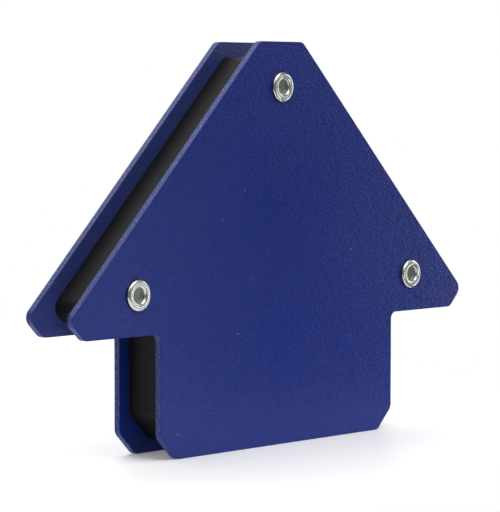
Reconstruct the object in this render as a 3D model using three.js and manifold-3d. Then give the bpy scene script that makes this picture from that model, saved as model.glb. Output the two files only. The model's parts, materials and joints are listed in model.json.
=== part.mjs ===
// Arrow-shaped magnetic welding holder: two steel pole plates riveted over a moulded frame of ferrite magnets.
// Millimetres, +Z up. The front plate faces -Y, and the origin is the middle of the foot that it stands on.
import * as THREE from "three";
import { mergeVertices } from "three/addons/utils/BufferGeometryUtils.js";
import Module from "manifold-3d";

const wasm = await Module();
wasm.setup();

// ---- Driving dimensions ----

// Pole plates. Their long edges slope at exactly 45 degrees, which sets the holder's angles.
const STEM_WIDTH = 71;
const ARM_REACH = 24.5; // from the side of the stem to the tip of an arm
const SHOULDER_HEIGHT = 25; // from the foot to the underside of the arms
const TIP_CUT = 4; // leg of the 45 degree cut at the tip of an arm
const FOOT_CUT = 4.5; // leg of the 45 degree cut at each corner of the foot
const TOP_FLAT = 13; // width of the flat on the apex
const CORNER_RADIUS = 2; // every outer corner of the stamping
const NOTCH_RADIUS = 1.5; // the inner corner between stem and arm
const PLATE_THICKNESS = 1.5;

// Moulded frame between the plates. Each inset is how far its edge is set back from the plates' edge.
const INSET_TOP = 3.2;
const INSET_SLOPE = 3.2;
const INSET_TIP = 5.5;
const INSET_SHOULDER = 2.7;
const INSET_STEM = 2.7;
const INSET_FOOT_CUT = 4.6;
const INSET_FOOT = 2.5;
const FRAME_CORNER_RADIUS = 2.5;
const FRAME_WALL = 2; // round the pockets, the rivet holes and the coring holes

// Magnets
const MAGNET_THICKNESS = 10; // which is also the gap between the plates
const MAGNET_CHAMFER = 0.6; // on the edges that run from plate to plate
const POCKET_CLEARANCE = 0.3; // between a magnet and each wall of its pocket

// Semi-tubular rivets, with the rolled end in front and the factory head behind
const SHANK_DIAMETER = 4;
const SHANK_CLEARANCE = 0.2; // round the shank in the plates and the frame
const TUBE_WALL = 0.5; // round the hollow of the rolled end
const HOLLOW_DEPTH = 1; // from the crest of the rolled end
const ROLL_LIP = 1.1; // how far the rolled end overhangs the shank
const ROLL_HEIGHT = 0.8;
const HEAD_LIP = 1.6; // how far the factory head overhangs the shank
const HEAD_HEIGHT = 0.8;
const TOP_RIVET_DROP = 9.25; // below the apex flat
const ARM_RIVET_FROM_SLOPE = 10;
const ARM_RIVET_FROM_SHOULDER = 8;

// Facets of round shapes
const CORNER_SEGMENTS = 6;
const ROUND_SEGMENTS = 32;
const ROLL_SEGMENTS = 8;
const DOME_SEGMENTS = 5;
const CUT_OVERSHOOT = 1; // how far a cutting prism runs past the faces that it opens

// ---- Derived dimensions ----

const HALF_STEM = STEM_WIDTH / 2;
const HALF_WIDTH = HALF_STEM + ARM_REACH;
const TIP_HEIGHT = SHOULDER_HEIGHT + TIP_CUT;
const HEIGHT = TIP_HEIGHT + HALF_WIDTH - TOP_FLAT / 2;
const SLOPE_SUM = HALF_WIDTH + TIP_HEIGHT; // x + z everywhere on the right-hand slope
const INNER_FACE = MAGNET_THICKNESS / 2; // of either plate, from the middle plane
const OUTER_FACE = INNER_FACE + PLATE_THICKNESS;

const SHANK_RADIUS = SHANK_DIAMETER / 2;
const RIVET_HOLE_RADIUS = SHANK_RADIUS + SHANK_CLEARANCE;
const TOP_RIVET_Z = HEIGHT - TOP_RIVET_DROP;
const ARM_RIVET_Z = SHOULDER_HEIGHT + ARM_RIVET_FROM_SHOULDER;
const ARM_RIVET_X = SLOPE_SUM - ARM_RIVET_Z - ARM_RIVET_FROM_SLOPE * Math.SQRT2;
const RIVETS = {
  rivet_top: { x: 0, z: TOP_RIVET_Z },
  rivet_left: { x: -ARM_RIVET_X, z: ARM_RIVET_Z },
  rivet_right: { x: ARM_RIVET_X, z: ARM_RIVET_Z },
};

// The pockets fill the frame between its walls. The body pockets stand side by side, and the foot cut and the
// slope leave room for their outer corners. The apex pocket lies between them and the top rivet.
const WALL_SLOPE_SUM = SLOPE_SUM - (INSET_SLOPE + FRAME_WALL) * Math.SQRT2; // x + z inside the slope's wall
const WALL_FOOT_CUT = HALF_STEM - FOOT_CUT - (INSET_FOOT_CUT + FRAME_WALL) * Math.SQRT2; // x - z inside its wall
const BODY_POCKET_X1 = HALF_STEM - INSET_STEM - FRAME_WALL;
const BODY_POCKET = {
  x0: FRAME_WALL / 2,
  x1: BODY_POCKET_X1,
  z0: BODY_POCKET_X1 - WALL_FOOT_CUT,
  z1: WALL_SLOPE_SUM - BODY_POCKET_X1,
};
const APEX_POCKET_TOP = TOP_RIVET_Z - RIVET_HOLE_RADIUS - FRAME_WALL;
const APEX_POCKET = {
  x0: APEX_POCKET_TOP - WALL_SLOPE_SUM,
  x1: WALL_SLOPE_SUM - APEX_POCKET_TOP,
  z0: BODY_POCKET.z1 + FRAME_WALL,
  z1: APEX_POCKET_TOP,
};
const POCKETS = {
  magnet_left: { ...BODY_POCKET, x0: -BODY_POCKET.x1, x1: -BODY_POCKET.x0 },
  magnet_right: BODY_POCKET,
  magnet_apex: APEX_POCKET,
};

// ---- Outlines, as points (x, z) ----

// The holder's outline with each kind of edge set back by its own inset, as a closed list of corners. Each
// edge is a line nx * x + nz * z = d, an inset takes away from d, and neighbouring edges cross at a corner.
function holderCorners({ top, slope, tip, shoulder, stem, footCut, foot }) {
  const h = Math.SQRT1_2;
  const rightEdges = [
    [0, 1, HEIGHT - top],
    [h, h, SLOPE_SUM * h - slope],
    [h, -h, (HALF_WIDTH - TIP_HEIGHT) * h - tip],
    [0, -1, -SHOULDER_HEIGHT - shoulder],
    [1, 0, HALF_STEM - stem],
    [h, -h, (HALF_STEM - FOOT_CUT) * h - footCut],
    [0, -1, -foot],
  ];
  const right = rightEdges.slice(1).map((edge, i) => crossing(rightEdges[i], edge));
  const left = right.map((p) => new THREE.Vector2(-p.x, p.y)).reverse();
  return [...right, ...left];
}

function crossing([ax, az, ad], [bx, bz, bd]) {
  const det = ax * bz - az * bx;
  return new THREE.Vector2((ad * bz - az * bd) / det, (ax * bd - ad * bx) / det);
}

// Rounds the corners of an outline that runs clockwise: outer corners by one radius and inner ones by another.
function rounded(corners, outerRadius, innerRadius) {
  const n = corners.length;
  return corners.flatMap((corner, i) => {
    const back = corners[(i + n - 1) % n].clone().sub(corner).normalize();
    const on = corners[(i + 1) % n].clone().sub(corner).normalize();
    const isOuter = back.cross(on) > 0;
    const radius = isOuter ? outerRadius : innerRadius;
    const half = Math.acos(back.dot(on)) / 2;
    const centre = back.clone().add(on).setLength(radius / Math.sin(half)).add(corner);
    const start = back.clone().setLength(radius / Math.tan(half)).add(corner);
    const turn = (isOuter ? -1 : 1) * (Math.PI - 2 * half);
    return Array.from({ length: CORNER_SEGMENTS + 1 }, (_, k) =>
      start.clone().rotateAround(centre, (turn * k) / CORNER_SEGMENTS),
    );
  });
}

function circle({ x, z }, radius) {
  return new THREE.Path().absarc(x, z, radius, 0, 2 * Math.PI).getSpacedPoints(ROUND_SEGMENTS).slice(1);
}

// A rectangle that is smaller than the given one by a gap all round, with its corners cut off.
function block({ x0, x1, z0, z1 }, gap, chamfer) {
  const halfX = (x1 - x0) / 2 - gap;
  const halfZ = (z1 - z0) / 2 - gap;
  const quarter = [
    [halfX - chamfer, halfZ],
    [halfX, halfZ - chamfer],
  ];
  const points = [
    ...quarter,
    ...quarter.map(([x, z]) => [x, -z]).reverse(),
    ...quarter.map(([x, z]) => [-x, -z]),
    ...quarter.map(([x, z]) => [-x, z]).reverse(),
  ];
  return points.map(([x, z]) => new THREE.Vector2((x0 + x1) / 2 + x, (z0 + z1) / 2 + z));
}

// ---- Solids ----

// An outline in the XZ plane, drawn out along Y.
function prism(outline, y0, y1) {
  return new THREE.ExtrudeGeometry(new THREE.Shape(outline), { depth: y1 - y0, bevelEnabled: false })
    .rotateX(Math.PI / 2)
    .translate(0, y1, 0);
}

function solidOf(geometry) {
  const bare = geometry.clone();
  bare.deleteAttribute("normal");
  bare.deleteAttribute("uv");
  const merged = mergeVertices(bare, 1e-5);
  return new wasm.Manifold(
    new wasm.Mesh({
      numProp: 3,
      vertProperties: merged.attributes.position.array,
      triVerts: new Uint32Array(merged.index.array),
    }),
  );
}

// The body with a prism of each outline cut through it from face to face.
function cutThrough(body, outlines, faceY) {
  const reach = faceY + CUT_OVERSHOOT;
  const cut = outlines.reduce(
    (solid, outline) => solid.subtract(solidOf(prism(outline, -reach, reach))),
    solidOf(body),
  );
  const mesh = cut.getMesh();
  const geometry = new THREE.BufferGeometry();
  geometry.setAttribute("position", new THREE.BufferAttribute(mesh.vertProperties, 3));
  geometry.setIndex(new THREE.BufferAttribute(mesh.triVerts, 1));
  return geometry;
}

const rivetHoles = Object.values(RIVETS).map((centre) => circle(centre, RIVET_HOLE_RADIUS));

function polePlate(y0, y1) {
  const edge = { top: 0, slope: 0, tip: 0, shoulder: 0, stem: 0, footCut: 0, foot: 0 };
  const outline = rounded(holderCorners(edge), CORNER_RADIUS, NOTCH_RADIUS);
  return cutThrough(prism(outline, y0, y1), rivetHoles, OUTER_FACE);
}

// The largest round hole in the triangle between a corner of the walls and the inside of the slope's wall.
function coringHole(x0, z0) {
  const leg = WALL_SLOPE_SUM - x0 - z0;
  const radius = leg * (1 - Math.SQRT1_2);
  return circle({ x: x0 + radius, z: z0 + radius }, radius);
}

function spacerFrame() {
  const corners = holderCorners({
    top: INSET_TOP,
    slope: INSET_SLOPE,
    tip: INSET_TIP,
    shoulder: INSET_SHOULDER,
    stem: INSET_STEM,
    footCut: INSET_FOOT_CUT,
    foot: INSET_FOOT,
  });
  const outline = rounded(corners, FRAME_CORNER_RADIUS, FRAME_CORNER_RADIUS);
  const pockets = Object.values(POCKETS).map((pocket) => block(pocket, 0, MAGNET_CHAMFER));
  const rightCorings = [
    coringHole(BODY_POCKET.x1 + FRAME_WALL, ARM_RIVET_Z + RIVET_HOLE_RADIUS + FRAME_WALL),
    coringHole(APEX_POCKET.x1 + FRAME_WALL, APEX_POCKET.z0),
  ];
  const leftCorings = rightCorings.map((hole) => hole.map((p) => new THREE.Vector2(-p.x, p.y)).reverse());
  const cuts = [...pockets, ...rivetHoles, ...rightCorings, ...leftCorings];
  return cutThrough(prism(outline, -INNER_FACE, INNER_FACE), cuts, INNER_FACE);
}

function magnet(pocket) {
  return prism(block(pocket, POCKET_CLEARANCE, MAGNET_CHAMFER), -INNER_FACE, INNER_FACE);
}

// A rivet turned about Y: the hollow, the rolled end, the shank and the low domed factory head.
function rivet() {
  const bore = SHANK_RADIUS - TUBE_WALL;
  const rollRadius = (SHANK_RADIUS + ROLL_LIP - bore) / 2;
  const floor = -OUTER_FACE - ROLL_HEIGHT + HOLLOW_DEPTH;
  const roll = Array.from({ length: ROLL_SEGMENTS + 1 }, (_, k) => {
    const a = (Math.PI * k) / ROLL_SEGMENTS;
    return [bore + rollRadius * (1 - Math.cos(a)), -OUTER_FACE - ROLL_HEIGHT * Math.sin(a)];
  });
  const headRadius = SHANK_RADIUS + HEAD_LIP;
  const domeRadius = (headRadius ** 2 + HEAD_HEIGHT ** 2) / (2 * HEAD_HEIGHT);
  const domeAngle = Math.asin(headRadius / domeRadius);
  const dome = Array.from({ length: DOME_SEGMENTS }, (_, k) => {
    const a = domeAngle * (1 - k / DOME_SEGMENTS);
    return [domeRadius * Math.sin(a), OUTER_FACE + HEAD_HEIGHT - domeRadius * (1 - Math.cos(a))];
  });
  const profile = [
    [0, floor],
    [bore, floor],
    ...roll,
    [SHANK_RADIUS, -OUTER_FACE],
    [SHANK_RADIUS, OUTER_FACE],
    ...dome,
    [0, OUTER_FACE + HEAD_HEIGHT],
  ];
  return new THREE.LatheGeometry(
    profile.map(([r, y]) => new THREE.Vector2(r, y)),
    ROUND_SEGMENTS,
  );
}

// ---- Assembly ----

const blueCoat = new THREE.MeshStandardMaterial({ color: 0x1f2e73, roughness: 0.45, metalness: 0 });
const blackPlastic = new THREE.MeshStandardMaterial({ color: 0x232326, roughness: 0.5, metalness: 0 });
const ferrite = new THREE.MeshStandardMaterial({ color: 0x3a3a3c, roughness: 0.7, metalness: 0.2 });
const zincPlate = new THREE.MeshStandardMaterial({ color: 0xc6c8c4, roughness: 0.3, metalness: 1 });

const holder = new THREE.Group();

function add(name, geometry, material) {
  const mesh = new THREE.Mesh(geometry, material);
  mesh.name = name;
  holder.add(mesh);
  return mesh;
}

add("front_plate", polePlate(-OUTER_FACE, -INNER_FACE), blueCoat);
add("rear_plate", polePlate(INNER_FACE, OUTER_FACE), blueCoat);
add("spacer_frame", spacerFrame(), blackPlastic);
for (const [name, pocket] of Object.entries(POCKETS)) add(name, magnet(pocket), ferrite);
for (const [name, { x, z }] of Object.entries(RIVETS)) add(name, rivet(), zincPlate).position.set(x, 0, z);

export default holder;
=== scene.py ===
"""Arrow-shaped magnetic welding holder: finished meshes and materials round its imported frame.

Blender 4.5, metres, +Z up. The front plate faces -Y. Two powder-coated pole plates are riveted over a
moulded frame that holds three ferrite magnets.
"""

import json
import math

import bpy
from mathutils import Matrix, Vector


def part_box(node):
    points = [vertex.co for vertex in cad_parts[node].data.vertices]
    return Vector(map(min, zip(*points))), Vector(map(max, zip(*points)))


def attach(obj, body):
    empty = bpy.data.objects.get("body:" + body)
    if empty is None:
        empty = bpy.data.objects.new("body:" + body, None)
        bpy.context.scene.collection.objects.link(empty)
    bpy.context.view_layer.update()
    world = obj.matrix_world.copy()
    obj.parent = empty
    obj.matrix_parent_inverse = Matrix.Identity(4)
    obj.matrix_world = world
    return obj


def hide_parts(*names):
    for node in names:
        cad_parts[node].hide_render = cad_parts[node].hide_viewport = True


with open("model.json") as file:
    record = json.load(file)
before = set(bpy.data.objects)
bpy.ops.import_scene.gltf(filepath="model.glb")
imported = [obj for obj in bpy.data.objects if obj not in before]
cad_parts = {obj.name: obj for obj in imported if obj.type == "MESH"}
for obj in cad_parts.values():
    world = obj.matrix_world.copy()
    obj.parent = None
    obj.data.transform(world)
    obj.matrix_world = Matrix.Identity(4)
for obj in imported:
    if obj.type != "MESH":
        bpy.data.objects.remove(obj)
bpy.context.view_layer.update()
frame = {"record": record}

MM = 0.001

# ---- Sizes from the frame ----

mount_point = {mount["name"]: mount["pos_m"] for mount in frame["record"]["mounts"]}
plate_low, plate_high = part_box("front_plate")
core_low, core_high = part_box("spacer_frame")
rivet_low, rivet_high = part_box("rivet_top")
HEIGHT = plate_high.z
SLOPE_SUM = mount_point["right_slope_edge"][0] + mount_point["right_slope_edge"][2]  # x + z on that slope
HALF_STEM = mount_point["right_stem_edge"][0]
SHOULDER_HEIGHT = mount_point["right_shoulder_edge"][2]
OUTER_FACE = -plate_low.y
INNER_FACE = -plate_high.y

# ---- Sizes of the design that no box gives ----

TIP_CUT = 4 * MM  # leg of the 45 degree cut at the tip of an arm
FOOT_CUT = 4.5 * MM
HALF_WIDTH = SLOPE_SUM - SHOULDER_HEIGHT - TIP_CUT
TIP_HEIGHT = SHOULDER_HEIGHT + TIP_CUT
CORNER_RADIUS = 2 * MM
NOTCH_RADIUS = 1.5 * MM
CORE_CORNER_RADIUS = 2.5 * MM
CORE_WALL = 2 * MM
RIVET_HOLE_RADIUS = 2.2 * MM
POCKET_CLEARANCE = 0.3 * MM
MAGNET_CHAMFER = 0.6 * MM
NO_INSETS = dict.fromkeys(("top", "slope", "tip", "shoulder", "stem", "foot_cut", "foot"), 0)
CORE_INSETS = {
    "top": HEIGHT - core_high.z,
    "slope": 3.2 * MM,
    "tip": 5.5 * MM,
    "shoulder": 2.7 * MM,
    "stem": 2.7 * MM,
    "foot_cut": 4.6 * MM,
    "foot": core_low.z,
}

# Rounding of the finished edges
PUNCHED_ROUND = 0.5 * MM  # on a plate's outer face, where the punch drew the sheet down
BURRED_ROUND = 0.2 * MM  # on its inner face
MOULDED_ROUND = 0.3 * MM
GROUND_ROUND = 0.35 * MM
CORNER_FACETS = 12
EDGE_FACETS = 4
HOLE_FACETS = 64

# Rivets: a hollow end rolled over in front, and a domed factory head behind
SHANK_RADIUS = 2 * MM
HOLLOW_RADIUS = 1.5 * MM
HOLLOW_DEPTH = 1 * MM
ROLL_LIP_RADIUS = 3.1 * MM
TURNED_FACETS = 128
GOLDEN_ANGLE = 2.4  # radians, so that no two rivets are turned alike
SEED_STEP = 7.0  # between one rivet's noise and the next's
WELD_DISTANCE = 0.001 * MM
SHARP_ANGLE = math.radians(60)  # edges sharper than this are rounded


# ---- Nodes ----


def add_node(tree, kind, settings=None, inputs=None):
    """Adds a node. An input is set to a value, or linked where a socket or a list of sockets is given."""
    node = tree.nodes.new(kind)
    for name, value in (settings or {}).items():
        setattr(node, name, value)
    for key, value in (inputs or {}).items():
        sources = value if isinstance(value, list) else [value]
        if isinstance(sources[0], bpy.types.NodeSocket):
            for source in sources:
                tree.links.new(source, node.inputs[key])
        else:
            node.inputs[key].default_value = value
    return node


def shape_tree(name, inputs):
    """An empty Geometry Nodes tree with the named inputs, and the node that gives them."""
    tree = bpy.data.node_groups.new(name, "GeometryNodeTree")
    tree.interface.new_socket("Geometry", in_out="INPUT", socket_type="NodeSocketGeometry")
    for label, kind in inputs.items():
        tree.interface.new_socket(label, in_out="INPUT", socket_type="NodeSocket" + kind)
    tree.interface.new_socket("Geometry", in_out="OUTPUT", socket_type="NodeSocketGeometry")
    return tree, tree.nodes.new("NodeGroupInput").outputs


def finished(name, mesh, tree, values, rounded=None):
    """The piece that a tree makes of a mesh, with its edges rounded, as a plain mesh at the origin."""
    piece = bpy.data.objects.new(name, mesh)
    bpy.context.scene.collection.objects.link(piece)
    shaping = piece.modifiers.new("shape", "NODES")
    shaping.node_group = tree
    for socket in tree.interface.items_tree:
        if socket.in_out == "INPUT" and socket.name in values:
            shaping[socket.identifier] = values[socket.name]
    if rounded:
        bevel = piece.modifiers.new("edge", "BEVEL")
        bevel.limit_method = "WEIGHT"
        bevel.width = rounded
        bevel.segments = EDGE_FACETS
        bevel.harden_normals = True
    evaluated = piece.evaluated_get(bpy.context.evaluated_depsgraph_get())
    made = bpy.data.meshes.new_from_object(evaluated)
    piece.modifiers.clear()
    piece.data = made
    made.name = name
    return piece


# ---- Outlines, as loops of (x, z, fillet radius) ----


def crossing(first, second):
    (ax, az, ad), (bx, bz, bd) = first, second
    det = ax * bz - az * bx
    return (ad * bz - az * bd) / det, (ax * bd - ad * bx) / det


def holder_outline(insets, outer_radius, inner_radius):
    """The holder's outline with each kind of edge set back by its inset.

    An edge is a line x*a + z*b = d.
    """
    h = math.sqrt(0.5)
    edges = [
        (0, 1, HEIGHT - insets["top"]),
        (h, h, SLOPE_SUM * h - insets["slope"]),
        (h, -h, (HALF_WIDTH - TIP_HEIGHT) * h - insets["tip"]),
        (0, -1, -SHOULDER_HEIGHT - insets["shoulder"]),
        (1, 0, HALF_STEM - insets["stem"]),
        (h, -h, (HALF_STEM - FOOT_CUT) * h - insets["foot_cut"]),
        (0, -1, -insets["foot"]),
    ]
    right = []
    for before, after in zip(edges, edges[1:]):
        turns_in = before[0] * after[1] - before[1] * after[0] > 0
        right.append((*crossing(before, after), inner_radius if turns_in else outer_radius))
    return right + [(-x, z, radius) for x, z, radius in reversed(right)]


def rectangle(x0, x1, z0, z1, chamfer):
    corners = []
    for x, z, step_x, step_z in ((x0, z0, 1, 1), (x1, z0, -1, 1), (x1, z1, -1, -1), (x0, z1, 1, -1)):
        cut = [(x + step_x * chamfer, z, 0), (x, z + step_z * chamfer, 0)]
        corners += cut if step_x == -step_z else cut[::-1]
    return corners


def circle(x, z, radius):
    turns = [2 * math.pi * k / HOLE_FACETS for k in range(HOLE_FACETS)]
    return [(x + radius * math.cos(a), z + radius * math.sin(a), 0) for a in turns]


def loops_mesh(name, loops):
    """A mesh of closed loops in the XY plane, with each corner's fillet radius as an attribute."""
    points = [point for loop in loops for point in loop]
    edges = []
    start = 0
    for loop in loops:
        edges += [(start + k, start + (k + 1) % len(loop)) for k in range(len(loop))]
        start += len(loop)
    mesh = bpy.data.meshes.new(name)
    mesh.from_pydata([(x, z, 0) for x, z, _ in points], edges, [])
    fillets = mesh.attributes.new("fillet", "FLOAT", "POINT")
    fillets.data.foreach_set("value", [radius for _, _, radius in points])
    return mesh


# ---- Slabs: the plates, the frame and the magnets ----


def build_slab_tree():
    """Fills the loops between the outline and its holes, gives them depth and weighs the edges to round."""
    tree, given = shape_tree(
        "slab_from_outline",
        {
            "Corner Facets": "Int",
            "Rear Face": "Float",
            "Depth": "Float",
            "Front Round": "Float",
            "Rear Round": "Float",
            "Finish": "Material",
        },
    )
    radius = add_node(tree, "GeometryNodeInputNamedAttribute", inputs={"Name": "fillet"})
    curves = add_node(tree, "GeometryNodeMeshToCurve", inputs={"Mesh": given["Geometry"]})
    filleted = add_node(
        tree,
        "GeometryNodeFilletCurve",
        {"mode": "POLY"},
        {"Curve": curves.outputs[0], "Count": given["Corner Facets"], "Radius": radius.outputs[0]},
    )
    face = add_node(tree, "GeometryNodeFillCurve", {"mode": "NGONS"}, {"Curve": filleted.outputs[0]})
    front = add_node(
        tree,
        "GeometryNodeExtrudeMesh",
        inputs={"Mesh": face.outputs[0], "Offset Scale": given["Depth"], "Individual": False},
    )
    rear = add_node(tree, "GeometryNodeFlipFaces", inputs={"Mesh": face.outputs[0]})
    both = add_node(tree, "GeometryNodeJoinGeometry", inputs={0: [front.outputs[0], rear.outputs[0]]})
    closed = add_node(
        tree, "GeometryNodeMergeByDistance", inputs={0: both.outputs[0], "Distance": WELD_DISTANCE}
    )

    # Sharp edges are rounded. The drawn-out side has a height above zero, and becomes the front.
    angle = add_node(tree, "GeometryNodeInputMeshEdgeAngle")
    sharp = add_node(
        tree, "ShaderNodeMath", {"operation": "GREATER_THAN"}, {0: angle.outputs[0], 1: SHARP_ANGLE}
    )
    place = add_node(tree, "GeometryNodeInputPosition")
    height = add_node(tree, "ShaderNodeSeparateXYZ", inputs={0: place.outputs[0]})
    is_front = add_node(
        tree, "ShaderNodeMath", {"operation": "GREATER_THAN"}, {0: height.outputs["Z"], 1: 0.01 * MM}
    )
    side = add_node(
        tree,
        "ShaderNodeMapRange",
        inputs={
            "Value": is_front.outputs[0],
            "To Min": given["Rear Round"],
            "To Max": given["Front Round"],
        },
    )
    weight = add_node(
        tree, "ShaderNodeMath", {"operation": "MULTIPLY"}, {0: sharp.outputs[0], 1: side.outputs[0]}
    )
    weighed = add_node(
        tree,
        "GeometryNodeStoreNamedAttribute",
        {"data_type": "FLOAT", "domain": "EDGE"},
        {"Geometry": closed.outputs[0], "Name": "bevel_weight_edge", "Value": weight.outputs[0]},
    )
    upright = add_node(tree, "ShaderNodeCombineXYZ", inputs={"Y": given["Rear Face"]})
    stood = add_node(
        tree,
        "GeometryNodeTransform",
        inputs={
            "Geometry": weighed.outputs[0],
            "Translation": upright.outputs[0],
            "Rotation": (math.pi / 2, 0, 0),
        },
    )
    smooth = add_node(tree, "GeometryNodeSetShadeSmooth", inputs={0: stood.outputs[0]})
    coated = add_node(
        tree,
        "GeometryNodeSetMaterial",
        inputs={"Geometry": smooth.outputs[0], "Material": given["Finish"]},
    )
    add_node(tree, "NodeGroupOutput", inputs={0: coated.outputs[0]})
    return tree


def build_slab(name, node_name, loops, finish, front_round, rear_round):
    low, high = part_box(node_name)
    widest = max(front_round, rear_round)
    values = {
        "Corner Facets": CORNER_FACETS,
        "Rear Face": high.y,
        "Depth": high.y - low.y,
        "Front Round": front_round / widest,
        "Rear Round": rear_round / widest,
        "Finish": finish,
    }
    piece = finished(name, loops_mesh(name, loops), slab_tree, values, rounded=widest)
    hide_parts(node_name)
    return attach(piece, "root")


# ---- Rivets ----


def oval_arc(r, y, half_r, half_y, start, end, steps):
    """Points (r, y) along part of an oval, its angles in degrees."""
    turns = [math.radians(start + (end - start) * k / steps) for k in range(steps + 1)]
    return [(r + half_r * math.cos(a), y + half_y * math.sin(a)) for a in turns]


def rivet_section():
    """Half the rivet's section, from the hollow's floor round the roll, down the shank, over the head."""
    crest = rivet_low.y
    floor = crest + HOLLOW_DEPTH
    fillet = 0.15 * MM
    curl_under = 35  # degrees that the lip turns past its widest point, back to the plate
    half_y = (-OUTER_FACE - crest) / (1 + math.sin(math.radians(curl_under)))
    half_r = (ROLL_LIP_RADIUS - HOLLOW_RADIUS) / 2
    head_radius = (rivet_high.x - rivet_low.x) / 2
    return [
        (0, floor + 0.1 * MM),
        (0.6 * HOLLOW_RADIUS, floor + 0.05 * MM),
        *oval_arc(HOLLOW_RADIUS - fillet, floor - fillet, fillet, fillet, 90, 0, 4),
        *oval_arc(HOLLOW_RADIUS + half_r, crest + half_y, half_r, half_y, 180, 360 + curl_under, 36),
        (SHANK_RADIUS, -OUTER_FACE),
        (SHANK_RADIUS, OUTER_FACE),
        *oval_arc(0, OUTER_FACE, head_radius, rivet_high.y - OUTER_FACE, 0, 90, 20),
    ]


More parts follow.
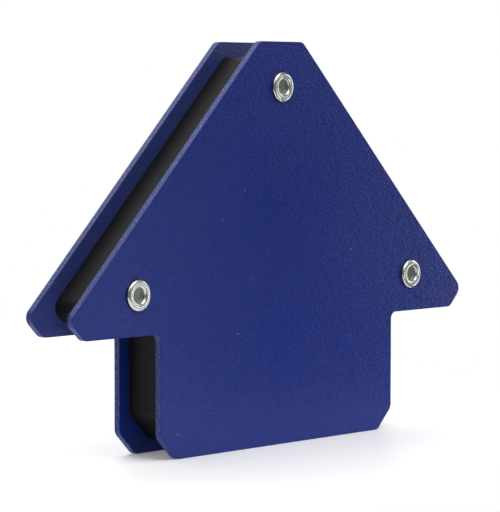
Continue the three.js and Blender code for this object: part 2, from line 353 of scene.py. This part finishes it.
def build_rivet_tree():
    """Turns the section round an axis, sets a copy at each point and wears each rolled end differently."""
    tree, given = shape_tree(
        "set_rivets",
        {
            "Section": "Object",
            "Turned Facets": "Int",
            "Path Radius": "Float",
            "Plate Face": "Float",
            "Lip Radius": "Float",
            "Unevenness": "Float",
            "Split Depth": "Float",
            "Seed": "Float",
            "Finish": "Material",
        },
    )
    section = add_node(tree, "GeometryNodeObjectInfo", inputs={"Object": given["Section"]})
    profile = add_node(tree, "GeometryNodeMeshToCurve", inputs={"Mesh": section.outputs["Geometry"]})
    path = add_node(
        tree,
        "GeometryNodeCurvePrimitiveCircle",
        inputs={"Resolution": given["Turned Facets"], "Radius": given["Path Radius"]},
    )
    swept = add_node(
        tree,
        "GeometryNodeCurveToMesh",
        inputs={"Curve": path.outputs[0], "Profile Curve": profile.outputs[0]},
    )
    closed = add_node(
        tree, "GeometryNodeMergeByDistance", inputs={0: swept.outputs[0], "Distance": WELD_DISTANCE}
    )
    turned = add_node(
        tree,
        "GeometryNodeTransform",
        inputs={"Geometry": closed.outputs[0], "Rotation": (math.pi / 2, 0, 0)},
    )
    place = add_node(tree, "GeometryNodeInputPosition")
    remembered = add_node(
        tree,
        "GeometryNodeStoreNamedAttribute",
        {"data_type": "FLOAT_VECTOR", "domain": "POINT"},
        {"Geometry": turned.outputs[0], "Name": "from_axis", "Value": place.outputs[0]},
    )
    index = add_node(tree, "GeometryNodeInputIndex")
    golden_turn = add_node(
        tree, "ShaderNodeMath", {"operation": "MULTIPLY"}, {0: index.outputs[0], 1: GOLDEN_ANGLE}
    )
    turn = add_node(tree, "ShaderNodeCombineXYZ", inputs={"Y": golden_turn.outputs[0]})
    copies = add_node(
        tree,
        "GeometryNodeInstanceOnPoints",
        inputs={
            "Points": given["Geometry"],
            "Instance": remembered.outputs[0],
            "Rotation": turn.outputs[0],
        },
    )
    numbered = add_node(
        tree,
        "GeometryNodeStoreNamedAttribute",
        {"data_type": "FLOAT", "domain": "INSTANCE"},
        {"Geometry": copies.outputs[0], "Name": "rivet_number", "Value": index.outputs[0]},
    )
    real = add_node(tree, "GeometryNodeRealizeInstances", inputs={0: numbered.outputs[0]})

    # The roll is uneven all round, and its lip has a few splits.
    local = add_node(
        tree, "GeometryNodeInputNamedAttribute", {"data_type": "FLOAT_VECTOR"}, {"Name": "from_axis"}
    ).outputs[0]
    number = add_node(
        tree, "GeometryNodeInputNamedAttribute", {"data_type": "FLOAT"}, {"Name": "rivet_number"}
    ).outputs[0]
    seed = add_node(
        tree, "ShaderNodeMath", {"operation": "MULTIPLY_ADD"}, {0: number, 1: SEED_STEP, 2: given["Seed"]}
    ).outputs[0]
    axes = add_node(tree, "ShaderNodeSeparateXYZ", inputs={0: local})
    above_plate = add_node(
        tree, "ShaderNodeMath", {"operation": "SUBTRACT"}, {0: given["Plate Face"], 1: axes.outputs["Y"]}
    )
    on_roll = add_node(
        tree,
        "ShaderNodeMapRange",
        {"interpolation_type": "SMOOTHSTEP"},
        {"Value": above_plate.outputs[0], "From Min": 0.02 * MM, "From Max": 0.2 * MM},
    )
    lumps = add_node(
        tree,
        "ShaderNodeTexNoise",
        {"noise_dimensions": "4D"},
        {"Vector": local, "W": seed, "Scale": 1 / (2 * MM), "Detail": 0.0},
    )
    sunk = add_node(
        tree,
        "ShaderNodeMapRange",
        inputs={
            "Value": lumps.outputs["Fac"],
            "From Min": 0.3,
            "From Max": 0.7,
            "To Min": -1.0,
            "To Max": 0.0,
        },
    )
    sink = add_node(
        tree, "ShaderNodeMath", {"operation": "MULTIPLY"}, {0: sunk.outputs[0], 1: given["Unevenness"]}
    )
    normal = add_node(tree, "GeometryNodeInputNormal")
    sink_way = add_node(
        tree,
        "ShaderNodeVectorMath",
        {"operation": "SCALE"},
        {0: normal.outputs[0], "Scale": sink.outputs[0]},
    )
    flat = add_node(tree, "ShaderNodeCombineXYZ", inputs={"X": axes.outputs["X"], "Z": axes.outputs["Z"]})
    outward = add_node(tree, "ShaderNodeVectorMath", {"operation": "NORMALIZE"}, {0: flat.outputs[0]})
    reach = add_node(tree, "ShaderNodeVectorMath", {"operation": "LENGTH"}, {0: flat.outputs[0]})
    lip_share = add_node(
        tree,
        "ShaderNodeMath",
        {"operation": "DIVIDE"},
        {0: reach.outputs["Value"], 1: given["Lip Radius"]},
    )
    near_lip = add_node(
        tree,
        "ShaderNodeMapRange",
        {"interpolation_type": "SMOOTHSTEP"},
        {"Value": lip_share.outputs[0], "From Min": 0.82, "From Max": 0.97},
    )
    crackle = add_node(
        tree,
        "ShaderNodeTexNoise",
        {"noise_dimensions": "4D"},
        {"Vector": outward.outputs[0], "W": seed, "Scale": 3.2, "Detail": 1.0},
    )
    split = add_node(
        tree,
        "ShaderNodeMapRange",
        {"interpolation_type": "SMOOTHSTEP"},
        {"Value": crackle.outputs["Fac"], "From Min": 0.66, "From Max": 0.7},
    )
    depth = add_node(
        tree, "ShaderNodeMath", {"operation": "MULTIPLY"}, {0: split.outputs[0], 1: near_lip.outputs[0]}
    )
    cut = add_node(
        tree, "ShaderNodeMath", {"operation": "MULTIPLY"}, {0: depth.outputs[0], 1: given["Split Depth"]}
    )
    inward = add_node(tree, "ShaderNodeMath", {"operation": "MULTIPLY"}, {0: cut.outputs[0], 1: -1.0})
    cut_way = add_node(
        tree,
        "ShaderNodeVectorMath",
        {"operation": "SCALE"},
        {0: outward.outputs[0], "Scale": inward.outputs[0]},
    )
    worn = add_node(
        tree,
        "ShaderNodeVectorMath",
        {"operation": "ADD"},
        {0: sink_way.outputs[0], 1: cut_way.outputs[0]},
    )
    moved = add_node(
        tree,
        "ShaderNodeVectorMath",
        {"operation": "SCALE"},
        {0: worn.outputs[0], "Scale": on_roll.outputs[0]},
    )
    shaped = add_node(
        tree, "GeometryNodeSetPosition", inputs={"Geometry": real.outputs[0], "Offset": moved.outputs[0]}
    )
    smooth = add_node(tree, "GeometryNodeSetShadeSmooth", inputs={0: shaped.outputs[0]})
    plated = add_node(
        tree,
        "GeometryNodeSetMaterial",
        inputs={"Geometry": smooth.outputs[0], "Material": given["Finish"]},
    )
    add_node(tree, "NodeGroupOutput", inputs={0: plated.outputs[0]})
    return tree


def build_rivets(finish):
    section = rivet_section()
    path_radius = 1 * MM  # any small circle: the section is drawn from its line
    section_mesh = bpy.data.meshes.new("rivet_section")
    section_mesh.from_pydata(
        [(r - path_radius, y, 0) for r, y in section], [(k, k + 1) for k in range(len(section) - 1)], []
    )
    section_object = bpy.data.objects.new("rivet_section", section_mesh)
    bpy.context.scene.collection.objects.link(section_object)
    points = bpy.data.meshes.new("rivet_centres")
    points.from_pydata([(centre.x, 0, centre.z) for centre in rivet_centres], [], [])
    values = {
        "Section": section_object,
        "Turned Facets": TURNED_FACETS,
        "Path Radius": path_radius,
        "Plate Face": -OUTER_FACE,
        "Lip Radius": ROLL_LIP_RADIUS,
        "Unevenness": 0.05 * MM,
        "Split Depth": 0.4 * MM,
        "Seed": 3.0,
        "Finish": finish,
    }
    piece = finished("semi_tubular_rivets", points, build_rivet_tree(), values)
    bpy.data.objects.remove(section_object)
    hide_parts(*RIVET_NODES)
    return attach(piece, "root")


# ---- Materials ----


def linear(code):
    """A scene-linear colour from an sRGB hex code."""
    channels = [int(code[k : k + 2], 16) / 255 for k in (1, 3, 5)]
    return (*(c / 12.92 if c <= 0.04045 else ((c + 0.055) / 1.055) ** 2.4 for c in channels), 1.0)


def new_material(name, surface):
    """A material, its tree, its shader with the given inputs, and its Object coordinates."""
    material = bpy.data.materials.new(name)
    material.use_nodes = True
    tree = material.node_tree
    tree.nodes.clear()
    shader = add_node(tree, "ShaderNodeBsdfPrincipled", inputs=surface)
    add_node(tree, "ShaderNodeOutputMaterial", inputs={"Surface": shader.outputs[0]})
    place = add_node(tree, "ShaderNodeTexCoord").outputs["Object"]
    return material, tree, shader, place


COAT_DARK = "#021f74"
COAT_LIGHT = "#042989"
# Painted haze of light: a greyer blue on the inner faces
COAT_PAINTED_HAZE = "#333e7a"
COAT_EDGE = "#182a72"
COAT_TORN = "#505e98"
COAT_NIB = "#98a1c8"
# Painted shadow: the dark ring round each rivet, under the roll's lip
COAT_PAINTED_RIVET_SHADOW = "#070b1f"
COAT_ROUGHNESS = (0.27, 0.33)
EDGE_ROUGHNESS = 0.45
NIB_SPACING = 2.2 * MM
PEEL_HEIGHT = 0.03 * MM
WRINKLE_HEIGHT = 0.085 * MM
PAINTED_RIVET_SHADOW_WIDTH = 0.26 * MM  # as wide as it needs to show
EDGE_MARGIN = 0.12 * MM  # kept off the rounding between a plate's edge and its faces
# The coat's noises: length of a feature along X, Y and Z, and how many finer octaves it carries
COAT_NOISES = {
    "wrinkle": (0.8 * MM, 0.32 * MM, 0.32 * MM, 1.0),
    "peel": (3 * MM, 3 * MM, 3 * MM, 1.0),
    "drift": (35 * MM, 35 * MM, 35 * MM, 2.0),
    "speckle": (0.45 * MM, 0.45 * MM, 0.45 * MM, 2.0),
}


def satin_powder_coat():
    """Polyester powder, sprayed dry and baked on sheet steel.

    It flows out to a satin film with a fine leathery wrinkle over a long orange peel. Its valleys are
    painted darker than its crests, as painted shade in the creases. A few light nibs of dry powder sit in
    it, and on the punched edges the torn steel shows through as light speckle. The inner faces are
    painted a greyer blue, as a painted haze of light, with less of it low in the stem's recess, where
    that is painted shade. A dark ring round each rivet is a painted shadow under the roll's lip.
    """
    material, tree, shader, place = new_material(
        "satin_polyester_powder_coat", {"IOR": 1.5, "Specular IOR Level": 0.33}
    )
    noise = {}
    for name, (along_x, along_y, along_z, octaves) in COAT_NOISES.items():
        counted = add_node(
            tree,
            "ShaderNodeMapping",
            inputs={"Vector": place, "Scale": (1 / along_x, 1 / along_y, 1 / along_z)},
        )
        noise[name] = add_node(
            tree,
            "ShaderNodeTexNoise",
            inputs={"Vector": counted.outputs[0], "Scale": 1.0, "Detail": octaves},
        ).outputs["Fac"]
    nibs = add_node(tree, "ShaderNodeTexVoronoi", inputs={"Vector": place, "Scale": 1 / NIB_SPACING})
    nib_pick = add_node(tree, "ShaderNodeSeparateColor", inputs={0: nibs.outputs["Color"]}).outputs["Red"]

    # Depth from the middle. Both plates have their faces and punched edge at the same depths.
    axes = add_node(tree, "ShaderNodeSeparateXYZ", inputs={0: place})
    depth = add_node(tree, "ShaderNodeMath", {"operation": "ABSOLUTE"}, {0: axes.outputs["Y"]}).outputs[0]
    on_edge = add_node(
        tree,
        "ShaderNodeMath",
        {"operation": "COMPARE"},
        {0: depth, 1: (OUTER_FACE + INNER_FACE) / 2, 2: (OUTER_FACE - INNER_FACE) / 2 - EDGE_MARGIN},
    ).outputs[0]

    # Distance to the nearest rivet, along the sheet
    flat = add_node(
        tree, "ShaderNodeVectorMath", {"operation": "MULTIPLY"}, {0: place, 1: (1, 0, 1)}
    ).outputs[0]
    to_rivet = 1.0
    for centre in rivet_centres:
        away = add_node(
            tree, "ShaderNodeVectorMath", {"operation": "DISTANCE"}, {0: flat, 1: (centre.x, 0, centre.z)}
        ).outputs["Value"]
        to_rivet = add_node(
            tree, "ShaderNodeMath", {"operation": "MINIMUM"}, {0: away, 1: to_rivet}
        ).outputs[0]

    share = {}
    for name, value, low, high, at_low, at_high in (
        ("crest", noise["wrinkle"], 0.4, 0.65, 0.0, 1.0),
        ("torn", noise["speckle"], 0.5, 0.68, 0.0, 1.0),
        ("gloss", noise["drift"], 0.3, 0.7, *COAT_ROUGHNESS),
        ("nib_core", nibs.outputs["Distance"], 0.04, 0.09, 1.0, 0.0),
        ("nib_pick", nib_pick, 0.88, 1.0, 0.0, 1.0),
        # Inner faces get the painted haze; less of it low in the stem's recess, which is painted shade
        # there
        ("inside", depth, INNER_FACE, INNER_FACE + 0.05 * MM, 1.0, 0.0),
        ("open_above", axes.outputs["Z"], SHOULDER_HEIGHT - 3 * MM, SHOULDER_HEIGHT + 5 * MM, 0.35, 1.0),
        # Painted shadow ring round each rivet
        ("crushed", to_rivet, ROLL_LIP_RADIUS, ROLL_LIP_RADIUS + PAINTED_RIVET_SHADOW_WIDTH, 1.0, 0.0),
    ):
        limits = {"Value": value, "From Min": low, "From Max": high, "To Min": at_low, "To Max": at_high}
        share[name] = add_node(tree, "ShaderNodeMapRange", inputs=limits).outputs[0]
    nib = add_node(
        tree, "ShaderNodeMath", {"operation": "MULTIPLY"}, {0: share["nib_core"], 1: share["nib_pick"]}
    ).outputs[0]
    # Painted haze of light on the inner faces, lessened low in the stem's recess as painted shade
    painted_haze_share = add_node(
        tree, "ShaderNodeMath", {"operation": "MULTIPLY"}, {0: share["inside"], 1: share["open_above"]}
    ).outputs[0]

    # A dark line round each rivet is a painted shadow under the roll's lip.
    edge_colour = add_node(
        tree,
        "ShaderNodeMix",
        {"data_type": "RGBA"},
        {0: share["torn"], 6: linear(COAT_EDGE), 7: linear(COAT_TORN)},
    ).outputs[2]
    # The wrinkle's valleys are painted darker than its crests: painted shade in the creases.
    colour = add_node(
        tree,
        "ShaderNodeMix",
        {"data_type": "RGBA"},
        {0: share["crest"], 6: linear(COAT_DARK), 7: linear(COAT_LIGHT)},
    ).outputs[2]
    for covered, cover in (
        (painted_haze_share, linear(COAT_PAINTED_HAZE)),
        (on_edge, edge_colour),
        (nib, linear(COAT_NIB)),
        (share["crushed"], linear(COAT_PAINTED_RIVET_SHADOW)),
    ):
        colour = add_node(
            tree, "ShaderNodeMix", {"data_type": "RGBA"}, {0: covered, 6: colour, 7: cover}
        ).outputs[2]
    rough = add_node(
        tree, "ShaderNodeMix", {"data_type": "FLOAT"}, {0: on_edge, 2: share["gloss"], 3: EDGE_ROUGHNESS}
    ).outputs[0]
    height = add_node(
        tree,
        "ShaderNodeMix",
        {"data_type": "FLOAT"},
        {0: on_edge, 2: noise["wrinkle"], 3: noise["speckle"]},
    ).outputs[0]
    long_wave = add_node(
        tree, "ShaderNodeBump", inputs={"Height": noise["peel"], "Distance": PEEL_HEIGHT}
    ).outputs[0]
    leather = add_node(
        tree, "ShaderNodeBump", inputs={"Height": height, "Distance": WRINKLE_HEIGHT, "Normal": long_wave}
    ).outputs[0]
    tree.links.new(colour, shader.inputs["Base Color"])
    tree.links.new(rough, shader.inputs["Roughness"])
    tree.links.new(leather, shader.inputs["Normal"])
    return material


ABS_SHADES = ("#060607", "#0a0a0a")
ABS_PEBBLE = 0.35 * MM  # as coarse as it needs to show
ABS_FLOW = 14 * MM


def moulded_abs():
    """Black ABS from a spark-eroded mould: an even dull sheen with a very fine pebble."""
    material, tree, shader, place = new_material(
        "moulded_black_abs", {"IOR": 1.5, "Specular IOR Level": 0.25}
    )
    pebble = add_node(
        tree, "ShaderNodeTexNoise", inputs={"Vector": place, "Scale": 1 / ABS_PEBBLE, "Detail": 2.0}
    ).outputs["Fac"]
    flow = add_node(
        tree, "ShaderNodeTexNoise", inputs={"Vector": place, "Scale": 1 / ABS_FLOW, "Detail": 3.0}
    ).outputs["Fac"]
    shade = add_node(
        tree,
        "ShaderNodeMix",
        {"data_type": "RGBA"},
        {0: flow, 6: linear(ABS_SHADES[0]), 7: linear(ABS_SHADES[1])},
    ).outputs[2]
    rough = add_node(
        tree,
        "ShaderNodeMapRange",
        inputs={"Value": flow, "From Min": 0.3, "From Max": 0.7, "To Min": 0.52, "To Max": 0.62},
    ).outputs[0]
    relief = add_node(
        tree, "ShaderNodeBump", inputs={"Height": pebble, "Distance": 0.02 * MM, "Strength": 1.0}
    )
    tree.links.new(shade, shader.inputs["Base Color"])
    tree.links.new(rough, shader.inputs["Roughness"])
    tree.links.new(relief.outputs[0], shader.inputs["Normal"])
    return material


FERRITE_SHADES = ("#19191a", "#3b3b3d")
GRIND_SCRATCH = 0.25 * MM
FERRITE_PORE = 0.9 * MM


def ground_ferrite():
    """Sintered strontium ferrite: a charcoal ceramic with open pores, its pole faces ground along X."""
    material, tree, shader, place = new_material("ground_strontium_ferrite", {"IOR": 2.2})
    stretched = add_node(
        tree, "ShaderNodeMapping", {"vector_type": "POINT"}, {"Vector": place, "Scale": (0.04, 1.0, 1.0)}
    ).outputs[0]
    scratches = add_node(
        tree,
        "ShaderNodeTexNoise",
        inputs={"Vector": stretched, "Scale": 1 / GRIND_SCRATCH, "Detail": 3.0},
    ).outputs["Fac"]
    pores = add_node(tree, "ShaderNodeTexVoronoi", inputs={"Vector": place, "Scale": 1 / FERRITE_PORE})
    pore = add_node(
        tree,
        "ShaderNodeMapRange",
        inputs={"Value": pores.outputs["Distance"], "From Min": 0.08, "From Max": 0.2},
    ).outputs[0]
    shade = add_node(
        tree,
        "ShaderNodeMix",
        {"data_type": "RGBA"},
        {0: pore, 6: linear(FERRITE_SHADES[0]), 7: linear(FERRITE_SHADES[1])},
    ).outputs[2]
    rough = add_node(
        tree,
        "ShaderNodeMapRange",
        inputs={"Value": scratches, "From Min": 0.3, "From Max": 0.7, "To Min": 0.45, "To Max": 0.7},
    ).outputs[0]
    relief = add_node(
        tree, "ShaderNodeMath", {"operation": "MULTIPLY_ADD"}, {0: scratches, 1: 0.3, 2: pore}
    ).outputs[0]
    bumped = add_node(
        tree, "ShaderNodeBump", inputs={"Height": relief, "Distance": 0.02 * MM, "Strength": 1.0}
    )
    tree.links.new(shade, shader.inputs["Base Color"])
    tree.links.new(rough, shader.inputs["Roughness"])
    tree.links.new(bumped.outputs[0], shader.inputs["Normal"])
    return material


ZINC_SHADES = ("#d2d3d1", "#e6e6e2")
ZINC_HOLLOW = "#8e988c"
ZINC_CLOUD = 0.9 * MM
ZINC_DENT = 0.35 * MM
HOLLOW_ROUGHNESS = 0.5


def zinc_plate():
    """Bright zinc on a steel rivet: a cool mirror dulled by tumbling, greyer down in the hollow."""
    material, tree, shader, place = new_material("zinc_plated_steel", {"Metallic": 1.0})
    cloud = add_node(
        tree, "ShaderNodeTexNoise", inputs={"Vector": place, "Scale": 1 / ZINC_CLOUD, "Detail": 3.0}
    ).outputs["Fac"]
    dents = add_node(
        tree, "ShaderNodeTexNoise", inputs={"Vector": place, "Scale": 1 / ZINC_DENT, "Detail": 1.0}
    ).outputs["Fac"]
    axes = add_node(tree, "ShaderNodeSeparateXYZ", inputs={0: place})
    hollow = add_node(
        tree,
        "ShaderNodeMapRange",
        inputs={
            "Value": axes.outputs["Y"],
            "From Min": rivet_low.y + 0.6 * HOLLOW_DEPTH,
            "From Max": rivet_low.y + HOLLOW_DEPTH,
        },
    ).outputs[0]
    in_front = add_node(
        tree, "ShaderNodeMath", {"operation": "LESS_THAN"}, {0: axes.outputs["Y"], 1: 0.0}
    ).outputs[0]
    dull = add_node(
        tree, "ShaderNodeMath", {"operation": "MULTIPLY"}, {0: hollow, 1: in_front}
    ).outputs[0]
    bright = add_node(
        tree,
        "ShaderNodeMix",
        {"data_type": "RGBA"},
        {0: cloud, 6: linear(ZINC_SHADES[0]), 7: linear(ZINC_SHADES[1])},
    ).outputs[2]
    plate = add_node(
        tree, "ShaderNodeMix", {"data_type": "RGBA"}, {0: dull, 6: bright, 7: linear(ZINC_HOLLOW)}
    ).outputs[2]
    rough_bright = add_node(
        tree,
        "ShaderNodeMapRange",
        inputs={"Value": cloud, "From Min": 0.3, "From Max": 0.7, "To Min": 0.23, "To Max": 0.3},
    ).outputs[0]
    rough = add_node(
        tree, "ShaderNodeMix", {"data_type": "FLOAT"}, {0: dull, 2: rough_bright, 3: HOLLOW_ROUGHNESS}
    ).outputs[0]
    bumped = add_node(
        tree, "ShaderNodeBump", inputs={"Height": dents, "Distance": 0.002 * MM, "Strength": 1.0}
    )
    tree.links.new(plate, shader.inputs["Base Color"])
    tree.links.new(rough, shader.inputs["Roughness"])
    tree.links.new(bumped.outputs[0], shader.inputs["Normal"])
    return material


# ---- The holder ----

RIVET_NODES = ("rivet_top", "rivet_left", "rivet_right")
MAGNET_NODES = ("magnet_left", "magnet_right", "magnet_apex")
rivet_centres = [(low + high) / 2 for low, high in (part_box(name) for name in RIVET_NODES)]

slab_tree = build_slab_tree()
coat = satin_powder_coat()
rivet_holes = [circle(centre.x, centre.z, RIVET_HOLE_RADIUS) for centre in rivet_centres]
plate_loops = [holder_outline(NO_INSETS, CORNER_RADIUS, NOTCH_RADIUS), *rivet_holes]
build_slab(
    "front_pole_plate", "front_plate", plate_loops, coat, PUNCHED_ROUND, BURRED_ROUND
)
build_slab(
    "rear_pole_plate", "rear_plate", plate_loops, coat, BURRED_ROUND, PUNCHED_ROUND
)


def magnet_loop(node_name, gap):
    low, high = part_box(node_name)
    return rectangle(low.x - gap, high.x + gap, low.z - gap, high.z + gap, MAGNET_CHAMFER)


def coring_holes():
    """The largest round holes beside the pockets, in the corners between them and the slope's wall."""
    wall_sum = SLOPE_SUM - (CORE_INSETS["slope"] + CORE_WALL) * math.sqrt(2)
    body_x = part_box("magnet_right")[1].x + POCKET_CLEARANCE + CORE_WALL
    body_z = rivet_centres[1].z + RIVET_HOLE_RADIUS + CORE_WALL
    apex_low, apex_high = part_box("magnet_apex")
    holes = []
    apex_x = apex_high.x + POCKET_CLEARANCE + CORE_WALL
    apex_z = apex_low.z - POCKET_CLEARANCE
    for x, z in ((body_x, body_z), (apex_x, apex_z)):
        radius = (wall_sum - x - z) * (1 - math.sqrt(0.5))
        holes += [circle(side * (x + radius), z + radius, radius) for side in (-1, 1)]
    return holes


core_loops = [
    holder_outline(CORE_INSETS, CORE_CORNER_RADIUS, CORE_CORNER_RADIUS),
    *rivet_holes,
    *(magnet_loop(name, POCKET_CLEARANCE) for name in MAGNET_NODES),
    *coring_holes(),
]
build_slab(
    "moulded_spacer",
    "spacer_frame",
    core_loops,
    moulded_abs(),
    MOULDED_ROUND,
    MOULDED_ROUND,
)
ferrite = ground_ferrite()
for magnet in MAGNET_NODES:
    loops = [magnet_loop(magnet, 0)]
    build_slab(f"ferrite_{magnet}", magnet, loops, ferrite, GROUND_ROUND, GROUND_ROUND)
build_rivets(zinc_plate())


# ---- Studio ----

FLOOR_RADIUS = 0.27
FLOOR_CENTRE = (-0.1, 0.19)  # set back, so that the front plate mirrors the room more than the table
FLOOR_DROP = 0.02 * MM
TABLE_GLOW = 0.16  # radiance of the lamps under the sheet
TABLE_FACETS = 96
TABLE_SHADES = ("#f7f7f7", "#fbfbfb")
MOTTLE_SCALE = 30.0  # features per metre


def white_table():
    """Matt white acrylic sheet, faintly mottled and lit from beneath, with a weak broad reflection."""
    material, tree, shader, place = new_material(
        "matt_white_acrylic_sheet",
        {"Roughness": 0.55, "IOR": 1.45, "Emission Color": (1, 1, 1, 1), "Emission Strength": TABLE_GLOW},
    )
    mottle = add_node(
        tree, "ShaderNodeTexNoise", inputs={"Vector": place, "Scale": MOTTLE_SCALE, "Detail": 3.0}
    ).outputs["Fac"]
    shade = add_node(
        tree,
        "ShaderNodeMix",
        {"data_type": "RGBA"},
        {0: mottle, 6: linear(TABLE_SHADES[0]), 7: linear(TABLE_SHADES[1])},
    ).outputs[2]
    tree.links.new(shade, shader.inputs["Base Color"])
    return material


def build_table():
    mesh = bpy.data.meshes.new("table")
    rim = [2 * math.pi * k / TABLE_FACETS for k in range(TABLE_FACETS)]
    x, y = FLOOR_CENTRE
    mesh.from_pydata(
        [(x + FLOOR_RADIUS * math.cos(a), y + FLOOR_RADIUS * math.sin(a), -FLOOR_DROP) for a in rim],
        [],
        [list(range(TABLE_FACETS))],
    )
    mesh.materials.append(white_table())
    table = bpy.data.objects.new("table", mesh)
    bpy.context.scene.collection.objects.link(table)


def build_softbox(name, azimuth, elevation, distance, width, height, radiance):
    """A rectangular softbox that faces the holder. Azimuth 0 is in front, towards -Y, and 90 is at +X."""
    light = bpy.data.lights.new(name, "AREA")
    light.shape = "RECTANGLE"
    light.size = width
    light.size_y = height
    light.energy = radiance * math.pi * width * height
    softbox = bpy.data.objects.new(name, light)
    around, up = math.radians(azimuth), math.radians(elevation)
    softbox.location = (
        distance * math.sin(around) * math.cos(up),
        -distance * math.cos(around) * math.cos(up),
        HEIGHT / 2 + distance * math.sin(up),
    )
    softbox.rotation_euler = (math.pi / 2 - up, 0, around)
    bpy.context.scene.collection.objects.link(softbox)


def build_surroundings():
    """A dim room, which the camera sees as a plain white backdrop."""
    world = bpy.data.worlds.new("studio_room")
    world.use_nodes = True
    tree = world.node_tree
    tree.nodes.clear()
    room = add_node(
        tree, "ShaderNodeBackground", inputs={"Color": (1, 1, 1, 1), "Strength": ROOM_RADIANCE}
    ).outputs[0]
    backdrop = add_node(
        tree, "ShaderNodeBackground", inputs={"Color": (1, 1, 1, 1), "Strength": 1.0}
    ).outputs[0]
    path = add_node(tree, "ShaderNodeLightPath").outputs["Is Camera Ray"]
    seen = add_node(tree, "ShaderNodeMixShader", inputs={0: path, 1: room, 2: backdrop}).outputs[0]
    add_node(tree, "ShaderNodeOutputWorld", inputs={"Surface": seen})
    bpy.context.scene.world = world


ROOM_RADIANCE = 0.155
# Each softbox: azimuth and elevation in degrees, distance, width and height in metres, radiance.
# Most radiances began as the result of a least-squares fit of the lights. Some were then changed one by
# one.
SOFTBOXES = {
    "overhead": (0, 89, 0.7, 0.7, 0.7, 1.25),
    "front_overhead": (0, 48, 0.7, 0.5, 0.45, 1.6),
    "left_overhead": (270, 48, 0.7, 0.5, 0.45, 1.5),
    "left_front_overhead": (315, 48, 0.7, 0.5, 0.45, 0.3),
    "back_overhead": (188, 48, 0.7, 0.5, 0.45, 2.0),
    "back_right_overhead": (135, 48, 0.7, 0.5, 0.45, 1.05),
    "back_right": (135, 12, 0.7, 0.28, 0.38, 1.6),
    "back": (180, 12, 0.7, 0.28, 0.38, 0.3),
    "near_left": (340, 60, 0.3, 0.2, 0.12, 1.3),
    "near_right": (20, 60, 0.3, 0.2, 0.12, 0.5),
    "left_card": (28, -8, 0.175, 0.035, 0.06, 2.4),
    "left_strip": (20, 0, 0.38, 0.07, 0.22, 0.4),
    "right_strip": (62, 2, 0.28, 0.05, 0.25, 0.45),
    "far_right_strip": (70, 2, 0.28, 0.05, 0.25, 2.3),
    "top_card": (46, 21, 0.213, 0.12, 0.03, 1.1),
}

build_table()
build_surroundings()
for softbox, setting in SOFTBOXES.items():
    build_softbox(softbox, *setting)

# ---- Camera ----

# The camera is the rounded result of a least-squares fit to the holder's straight edges.
CAMERA_PLACE = (-390.83 * MM, -353.6 * MM, 70.9 * MM)
CAMERA_YAW = 47.676  # degrees to the right of +Y
CAMERA_DROP = 3.5235  # degrees below level
LENS = 179.8

camera_data = bpy.data.cameras.new("camera")
camera_data.lens = LENS
camera = bpy.data.objects.new("camera", camera_data)
camera.location = CAMERA_PLACE
camera.rotation_euler = (math.radians(90 - CAMERA_DROP), 0, math.radians(-CAMERA_YAW))
bpy.context.scene.collection.objects.link(camera)
bpy.context.scene.camera = camera
bpy.context.scene.view_settings.view_transform = "Standard"
